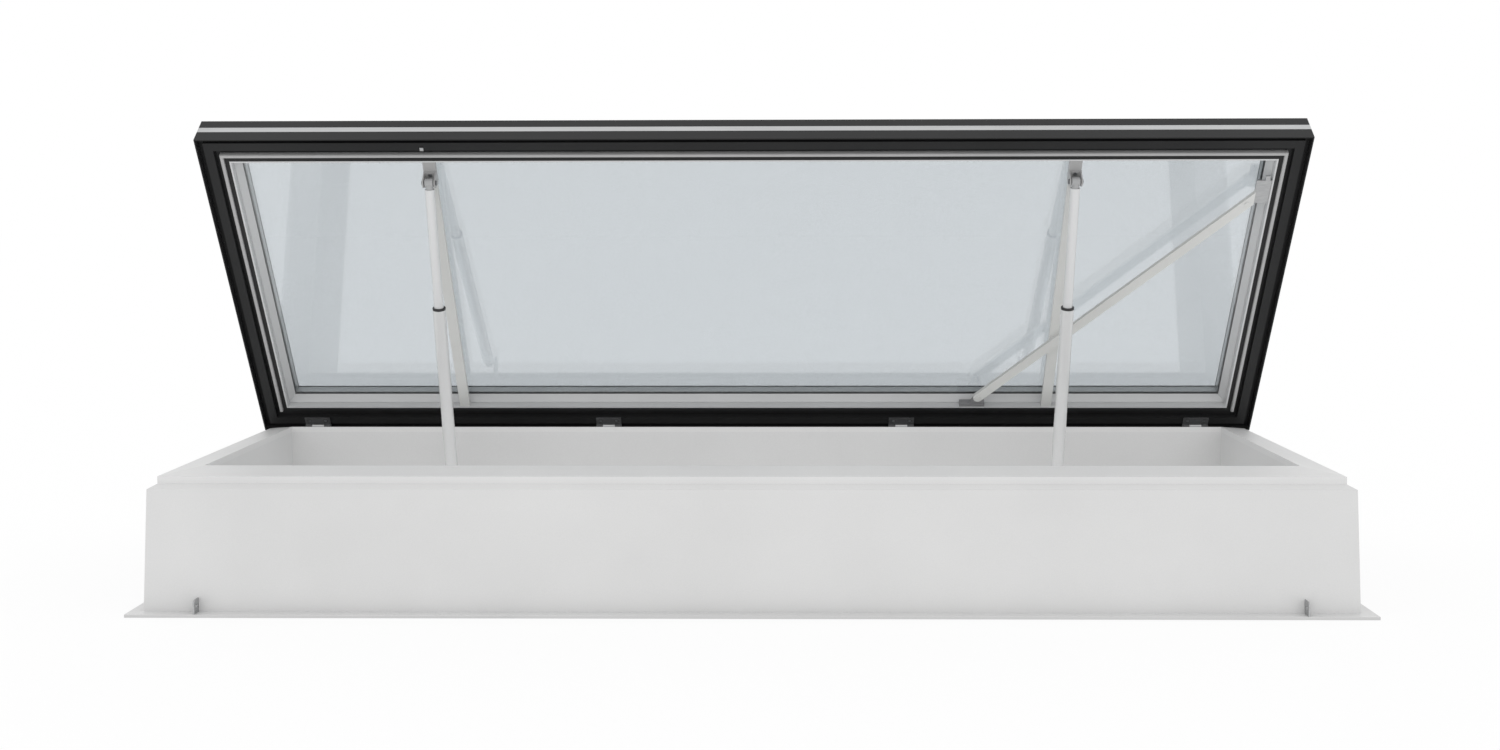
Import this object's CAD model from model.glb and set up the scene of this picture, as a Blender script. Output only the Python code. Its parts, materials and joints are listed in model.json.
import json
import math

import bpy
from mathutils import Matrix


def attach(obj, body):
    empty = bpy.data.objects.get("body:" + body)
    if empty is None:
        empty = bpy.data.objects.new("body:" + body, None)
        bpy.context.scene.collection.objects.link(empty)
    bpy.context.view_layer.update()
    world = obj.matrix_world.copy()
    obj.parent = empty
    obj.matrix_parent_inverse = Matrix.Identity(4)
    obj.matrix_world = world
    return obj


# Access hatch with its glazed lid open: finish of every surface, small trim, studio and camera.

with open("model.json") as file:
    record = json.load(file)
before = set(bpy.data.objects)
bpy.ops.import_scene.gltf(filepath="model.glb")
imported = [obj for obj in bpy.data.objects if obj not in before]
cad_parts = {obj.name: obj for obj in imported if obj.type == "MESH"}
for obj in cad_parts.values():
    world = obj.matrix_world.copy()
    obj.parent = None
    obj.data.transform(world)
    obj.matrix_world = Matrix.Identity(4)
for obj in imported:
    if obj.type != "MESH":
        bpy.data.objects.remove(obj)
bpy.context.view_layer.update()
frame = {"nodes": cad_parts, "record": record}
nodes = frame["nodes"]
scene = bpy.context.scene

# Camera, fitted to the photograph's edges
CAMERA_PLACE = (0.0755, -4.520, 0.9032)
CAMERA_HEADING = 0.01778
CAMERA_PITCH = -0.08963
CAMERA_ROLL = -0.001946
CAMERA_FOCAL_MM = 43.97
SENSOR_WIDTH_MM = 36.0
CAMERA_CLIP_END = 500

# Studio
FLOOR_HALF_SIZE = 60.0
FLOOR_DEPTH = 0.0004
BACKGROUND_STRENGTH = 1.0
FLOOR_GLOW = 0.82
FLOOR_TONE = 0.18
FLOOR_ROUGHNESS = 0.9

# Heights above the deck, in metres, and how much of the kerb's tone is left there
FOOT_HEIGHTS = (0.0, 0.0062, 0.0068, 0.0085, 0.02)
FOOT_TONES = (0.82, 0.85, 1.0, 1.0, 1.0)

# The lid's hinge line, its opening angle and the skirt's lower edge when shut, in metres
HINGE_Y = 0.4635
HINGE_Z = 0.315
OPEN_ANGLE = math.radians(54.6)
SKIRT_Z = 0.309

# Cross bars' middles, the struts' upper pivot and how far the rods' end fittings reach from it
BAR_X = 0.7895
UPPER_PIVOT = (BAR_X, -0.0225, 0.9713)
END_FITTING_REACH = 0.0185
END_FITTING_BLEND = 0.0008

# Webs of the upper brackets, seen under the bars' front ends
WEB_HALF_WIDTH = 0.0154
WEB_FRONT_Y = -0.3973
WEB_REAR_Y = -0.3702
WEB_BOTTOM = 0.0141
WEB_TOP = 0.0144

# Glass: index above real glass's 1.5, to bring its reflections nearer to the photograph's
GLASS_IOR = 1.85
GLASS_SHADOW_TINT = (0.86, 0.90, 0.91, 1)

# Softened edges, in metres
KERB_BEVEL = 0.0016
PROFILE_BEVEL = 0.0006
FITTING_BEVEL = 0.0004
BEVEL_ANGLE = math.radians(25)


def socket(shader, name, value):
    """Sets one plain value on a shader's own socket."""
    shader.inputs[name].default_value = value


def new_material(name):
    """A material with one Principled shader, returned with its node tree and that shader."""
    material = bpy.data.materials.new(name)
    material.use_nodes = True
    tree = material.node_tree
    tree.nodes.clear()
    output = tree.nodes.new("ShaderNodeOutputMaterial")
    shader = tree.nodes.new("ShaderNodeBsdfPrincipled")
    tree.links.new(shader.outputs["BSDF"], output.inputs["Surface"])
    return material, tree, shader


def object_coordinates(tree, stretch=(1, 1, 1)):
    """Object coordinates, stretched along the axes."""
    place = tree.nodes.new("ShaderNodeTexCoord")
    mapping = tree.nodes.new("ShaderNodeMapping")
    mapping.inputs["Scale"].default_value = stretch
    tree.links.new(place.outputs["Object"], mapping.inputs["Vector"])
    return mapping.outputs["Vector"]


def noise(tree, vector, scale, detail=4.0, roughness=0.55):
    """A noise texture's value at that scale per metre."""
    texture = tree.nodes.new("ShaderNodeTexNoise")
    texture.inputs["Scale"].default_value = scale
    texture.inputs["Detail"].default_value = detail
    texture.inputs["Roughness"].default_value = roughness
    tree.links.new(vector, texture.inputs["Vector"])
    return texture.outputs["Fac"]


def ramp(tree, value, low, high, low_at=0.3, high_at=0.7):
    """A two-stop colour ramp of that value."""
    node = tree.nodes.new("ShaderNodeValToRGB")
    node.color_ramp.elements[0].position = low_at
    node.color_ramp.elements[1].position = high_at
    node.color_ramp.elements[0].color = (*low, 1)
    node.color_ramp.elements[1].color = (*high, 1)
    tree.links.new(value, node.inputs["Fac"])
    return node.outputs["Color"]


def spread(tree, value, low, high):
    """That value mapped from 0..1 to low..high."""
    node = tree.nodes.new("ShaderNodeMapRange")
    node.inputs["To Min"].default_value = low
    node.inputs["To Max"].default_value = high
    tree.links.new(value, node.inputs["Value"])
    return node.outputs["Result"]


def bump(tree, shader, value, strength, distance):
    """A bump on the shader from that value; distance is in metres."""
    node = tree.nodes.new("ShaderNodeBump")
    node.inputs["Strength"].default_value = strength
    node.inputs["Distance"].default_value = distance
    tree.links.new(value, node.inputs["Height"])
    tree.links.new(node.outputs["Normal"], shader.inputs["Normal"])


def mixed(tree, first, second, share):
    """The first colour multiplied by the second, by that share."""
    node = tree.nodes.new("ShaderNodeMix")
    node.data_type = "RGBA"
    node.blend_type = "MULTIPLY"
    node.inputs["Factor"].default_value = share
    tree.links.new(first, node.inputs["A"])
    tree.links.new(second, node.inputs["B"])
    return node.outputs["Result"]


def foot_shade(tree, heights, tones):
    """A grey factor by height above the deck, for the shade low on the kerb."""
    place = tree.nodes.new("ShaderNodeTexCoord")
    split = tree.nodes.new("ShaderNodeSeparateXYZ")
    tree.links.new(place.outputs["Object"], split.inputs["Vector"])
    scale = tree.nodes.new("ShaderNodeMapRange")
    scale.inputs["From Max"].default_value = heights[-1]
    tree.links.new(split.outputs["Z"], scale.inputs["Value"])
    node = tree.nodes.new("ShaderNodeValToRGB")
    elements = node.color_ramp.elements
    while len(elements) < len(heights):
        elements.new(0.5)
    for element, height, tone in zip(elements, heights, tones):
        element.position = height / heights[-1]
        element.color = (tone, tone, tone, 1)
    tree.links.new(scale.outputs["Result"], node.inputs["Fac"])
    return node.outputs["Color"]


def grained(name, low, high, rough, grain, depth, cloud=3.0, specular=0.5, coat=0.0, foot=None):
    """A painted or moulded surface: slow cloudy tone, fine grain, orange-peel bump."""
    material, tree, shader = new_material(name)
    vector = object_coordinates(tree)
    clouds = ramp(tree, noise(tree, vector, cloud), low, high)
    if foot:
        clouds = mixed(tree, clouds, foot_shade(tree, *foot), 1.0)
    fine = noise(tree, vector, grain, detail=2.0)
    speckle = ramp(tree, fine, (0.965, 0.965, 0.965), (1, 1, 1))
    tree.links.new(mixed(tree, clouds, speckle, 1.0), shader.inputs["Base Color"])
    tree.links.new(spread(tree, fine, rough - 0.06, rough + 0.06), shader.inputs["Roughness"])
    socket(shader, "Specular IOR Level", specular)
    socket(shader, "Coat Weight", coat)
    bump(tree, shader, noise(tree, vector, grain * 0.8, detail=1.0), 0.25, depth)
    return material


def strut_finish(name, low, high, end_low, end_high):
    """White gloss sleeve whose end fitting, round the upper pivot, is bare grey metal."""
    material, tree, shader = new_material(name)
    vector = object_coordinates(tree)
    mirrored = tree.nodes.new("ShaderNodeVectorMath")
    mirrored.operation = "ABSOLUTE"
    tree.links.new(vector, mirrored.inputs[0])
    away = tree.nodes.new("ShaderNodeVectorMath")
    away.operation = "DISTANCE"
    away.inputs[1].default_value = [abs(value) for value in UPPER_PIVOT]
    tree.links.new(mirrored.outputs["Vector"], away.inputs[0])
    reach = tree.nodes.new("ShaderNodeMapRange")
    reach.inputs["From Min"].default_value = END_FITTING_REACH
    reach.inputs["From Max"].default_value = END_FITTING_REACH + END_FITTING_BLEND
    tree.links.new(away.outputs["Value"], reach.inputs["Value"])
    fine = noise(tree, vector, 600, detail=2.0)
    blend = tree.nodes.new("ShaderNodeMix")
    blend.data_type = "RGBA"
    tree.links.new(reach.outputs["Result"], blend.inputs["Factor"])
    tree.links.new(ramp(tree, fine, end_low, end_high), blend.inputs["A"])
    tree.links.new(ramp(tree, fine, low, high), blend.inputs["B"])
    tree.links.new(blend.outputs["Result"], shader.inputs["Base Color"])
    tree.links.new(spread(tree, fine, 0.18, 0.26), shader.inputs["Roughness"])
    socket(shader, "Coat Weight", 0.6)
    bump(tree, shader, noise(tree, vector, 480, detail=1.0), 0.25, 0.00002)
    return material


def brushed(name, low, high, rough, stretch, metallic=1.0):
    """Metal with fine lines drawn out along one axis, and a slow change of tone."""
    material, tree, shader = new_material(name)
    lines = noise(tree, object_coordinates(tree, stretch), 60.0, detail=6.0)
    slow = ramp(tree, noise(tree, object_coordinates(tree), 7.0), (0.93, 0.93, 0.93), (1, 1, 1))
    tone = ramp(tree, lines, low, high)
    tree.links.new(mixed(tree, tone, slow, 1.0), shader.inputs["Base Color"])
    tree.links.new(spread(tree, lines, rough - 0.07, rough + 0.09), shader.inputs["Roughness"])
    socket(shader, "Metallic", metallic)
    bump(tree, shader, lines, 0.2, 0.00005)
    return material


def glazing(name):
    """Clear tinted glass with a faint mottled tone; shadow rays pass through it, tinted."""
    material, tree, shader = new_material(name)
    vector = object_coordinates(tree)
    mottle = noise(tree, vector, 120.0, detail=3.0)
    tint = ramp(tree, mottle, (0.745, 0.771, 0.789), (0.775, 0.801, 0.819))
    tree.links.new(tint, shader.inputs["Base Color"])
    tree.links.new(spread(tree, mottle, 0.0, 0.02), shader.inputs["Roughness"])
    socket(shader, "Transmission Weight", 1.0)
    socket(shader, "IOR", GLASS_IOR)
    bump(tree, shader, noise(tree, vector, 6.0, detail=1.0), 0.02, 0.0002)
    output = tree.nodes["Material Output"]
    path = tree.nodes.new("ShaderNodeLightPath")
    clear = tree.nodes.new("ShaderNodeBsdfTransparent")
    clear.inputs["Color"].default_value = GLASS_SHADOW_TINT
    mix = tree.nodes.new("ShaderNodeMixShader")
    tree.links.new(path.outputs["Is Shadow Ray"], mix.inputs["Fac"])
    tree.links.new(shader.outputs["BSDF"], mix.inputs[1])
    tree.links.new(clear.outputs["BSDF"], mix.inputs[2])
    tree.links.new(mix.outputs["Shader"], output.inputs["Surface"])
    return material


materials = {
    "kerb_white": grained(
        "kerb_white", (0.685, 0.685, 0.683), (0.722, 0.722, 0.72), 0.42, 420, 0.00006,
        foot=(FOOT_HEIGHTS, FOOT_TONES),
    ),
    "rim_white": grained(
        "rim_white", (0.725, 0.725, 0.725), (0.765, 0.765, 0.762), 0.45, 420, 0.00006
    ),
    "frame_black": grained(
        "frame_black", (0.019, 0.0193, 0.0198), (0.024, 0.0243, 0.0248), 0.36, 900, 0.00004,
        specular=0.16,
    ),
    "leaf_dark": grained(
        "leaf_dark", (0.085, 0.086, 0.088), (0.105, 0.106, 0.108), 0.4, 900, 0.00004, specular=0.3
    ),
    "seal_grey": grained("seal_grey", (0.39, 0.39, 0.39), (0.45, 0.45, 0.45), 0.6, 700, 0.00005),
    "gasket_black": grained(
        "gasket_black", (0.13, 0.13, 0.135), (0.17, 0.17, 0.175), 0.6, 700, 0.00005
    ),
    "liner_grey": grained(
        "liner_grey", (0.57, 0.575, 0.58), (0.62, 0.625, 0.63), 0.4, 600, 0.00004
    ),
    "bar_white": grained("bar_white", (0.62, 0.625, 0.61), (0.67, 0.675, 0.66), 0.4, 600, 0.00004),
    "bracket_grey": grained(
        "bracket_grey", (0.37, 0.37, 0.37), (0.43, 0.43, 0.43), 0.38, 600, 0.00004
    ),
    "dark_fittings": grained(
        "dark_fittings", (0.09, 0.09, 0.095), (0.13, 0.13, 0.135), 0.4, 700, 0.00004
    ),
    "shoe_grey": grained(
        "shoe_grey", (0.22, 0.22, 0.225), (0.29, 0.29, 0.295), 0.4, 700, 0.00004
    ),
    "rod_white": strut_finish(
        "rod_white", (0.67, 0.675, 0.68), (0.71, 0.715, 0.72),
        (0.34, 0.345, 0.35), (0.40, 0.405, 0.41),
    ),
    "tube_white": grained(
        "tube_white", (0.66, 0.665, 0.665), (0.70, 0.705, 0.705), 0.2, 600, 0.00003, coat=1.0
    ),
    "ring_black": grained(
        "ring_black", (0.02, 0.02, 0.021), (0.035, 0.035, 0.036), 0.4, 800, 0.00004
    ),
    "strip_grey": brushed(
        "strip_grey", (0.52, 0.525, 0.53), (0.60, 0.605, 0.61), 0.42, (0.05, 4, 4)
    ),
    "spacer_grey": brushed(
        "spacer_grey", (0.50, 0.51, 0.51), (0.58, 0.59, 0.59), 0.45, (0.05, 4, 4)
    ),
    "hinge_steel": brushed(
        "hinge_steel", (0.50, 0.505, 0.51), (0.62, 0.625, 0.63), 0.32, (0.2, 5, 5)
    ),
    "pin_steel": brushed("pin_steel", (0.36, 0.37, 0.38), (0.48, 0.49, 0.50), 0.35, (1, 1, 1)),
    "bracket_steel": brushed(
        "bracket_steel", (0.48, 0.49, 0.50), (0.60, 0.61, 0.62), 0.38, (1, 1, 5)
    ),
    "lug_steel": brushed(
        "lug_steel", (0.42, 0.425, 0.43), (0.52, 0.525, 0.53), 0.4, (1, 1, 5)
    ),
    "glass": glazing("glass"),
}

# Each node takes the finish that the record gives its slot
for entry in frame["record"]["subparts"]:
    mesh = nodes[entry["node"]].data
    mesh.materials.clear()
    mesh.materials.append(materials[entry["material_slot"]])

# The stay's bolts are painted over with the stay
nodes["stay_bolts"].data.materials[0] = materials["bar_white"]

# The stay's shoe is a lighter grey than the pins that share its slot
nodes["stay_shoe"].data.materials[0] = materials["shoe_grey"]


def soften(names, width):
    """Small rounded edges on CAD nodes, with the mesh itself left as it is."""
    for name in names:
        modifier = nodes[name].modifiers.new("soft_edges", "BEVEL")
        modifier.width = width
        modifier.segments = 2
        modifier.limit_method = "ANGLE"
        modifier.angle_limit = BEVEL_ANGLE
        modifier.harden_normals = False


soften(("kerb", "rim_profile"), KERB_BEVEL)
soften(("lid_frame", "cover_profile", "edge_strip", "lower_liner", "upper_liner"), PROFILE_BEVEL)
soften(("left_cross_bar", "right_cross_bar", "stay_bar"), PROFILE_BEVEL)
soften(("stay_shoe", "stay_bracket", "left_upper_bracket", "right_upper_bracket"), FITTING_BEVEL)


def lid_point(x, y, height):
    """A point given in the shut lid's frame, height above the skirt's edge, on the open lid."""
    inward = y - HINGE_Y
    rise = SKIRT_Z + height - HINGE_Z
    return (
        x,
        HINGE_Y + inward * math.cos(OPEN_ANGLE) + rise * math.sin(OPEN_ANGLE),
        HINGE_Z - inward * math.sin(OPEN_ANGLE) + rise * math.cos(OPEN_ANGLE),
    )


# Bracket webs: thin plates under the cross bars' front ends
for name, bar_x in (("left", -BAR_X), ("right", BAR_X)):
    corners = [
        lid_point(bar_x + side * WEB_HALF_WIDTH, y, height)
        for height in (WEB_BOTTOM, WEB_TOP)
        for side, y in ((-1, WEB_FRONT_Y), (1, WEB_FRONT_Y), (1, WEB_REAR_Y), (-1, WEB_REAR_Y))
    ]
    faces = [(3, 2, 1, 0), (4, 5, 6, 7)]
    faces += [(i, (i + 1) % 4, (i + 1) % 4 + 4, i + 4) for i in range(4)]
    web_mesh = bpy.data.meshes.new(f"{name}_bracket_web")
    web_mesh.from_pydata(corners, [], faces)
    web_mesh.materials.append(materials["bracket_grey"])
    web = bpy.data.objects.new(f"{name}_bracket_web", web_mesh)
    scene.collection.objects.link(web)
    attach(web, "lid")

# Floor
bpy.ops.mesh.primitive_plane_add(size=2 * FLOOR_HALF_SIZE, location=(0, 0, -FLOOR_DEPTH))
floor = bpy.context.object
floor.name = "floor"
floor_material, _, floor_shader = new_material("floor_pale")
socket(floor_shader, "Base Color", (FLOOR_TONE, FLOOR_TONE, FLOOR_TONE, 1))
socket(floor_shader, "Roughness", FLOOR_ROUGHNESS)
socket(floor_shader, "Specular IOR Level", 0.0)
socket(floor_shader, "Emission Color", (1, 1, 1, 1))
socket(floor_shader, "Emission Strength", FLOOR_GLOW)
floor.data.materials.append(floor_material)

# Soft white surroundings
world = bpy.data.worlds.new("studio")
scene.world = world
world.use_nodes = True
background = world.node_tree.nodes["Background"]
background.inputs["Color"].default_value = (1, 1, 1, 1)
background.inputs["Strength"].default_value = BACKGROUND_STRENGTH

# View
scene.view_settings.view_transform = "Standard"
camera_data = bpy.data.cameras.new("camera")
camera_data.lens = CAMERA_FOCAL_MM
camera_data.sensor_fit = "HORIZONTAL"
camera_data.sensor_width = SENSOR_WIDTH_MM
camera_data.clip_end = CAMERA_CLIP_END
camera_data.dof.use_dof = False
camera = bpy.data.objects.new("camera", camera_data)
scene.collection.objects.link(camera)
camera.matrix_world = (
    Matrix.Translation(CAMERA_PLACE)
    @ Matrix.Rotation(CAMERA_HEADING, 4, "Z")
    @ Matrix.Rotation(math.radians(90) + CAMERA_PITCH, 4, "X")
    @ Matrix.Rotation(CAMERA_ROLL, 4, "Z")
)
scene.camera = camera
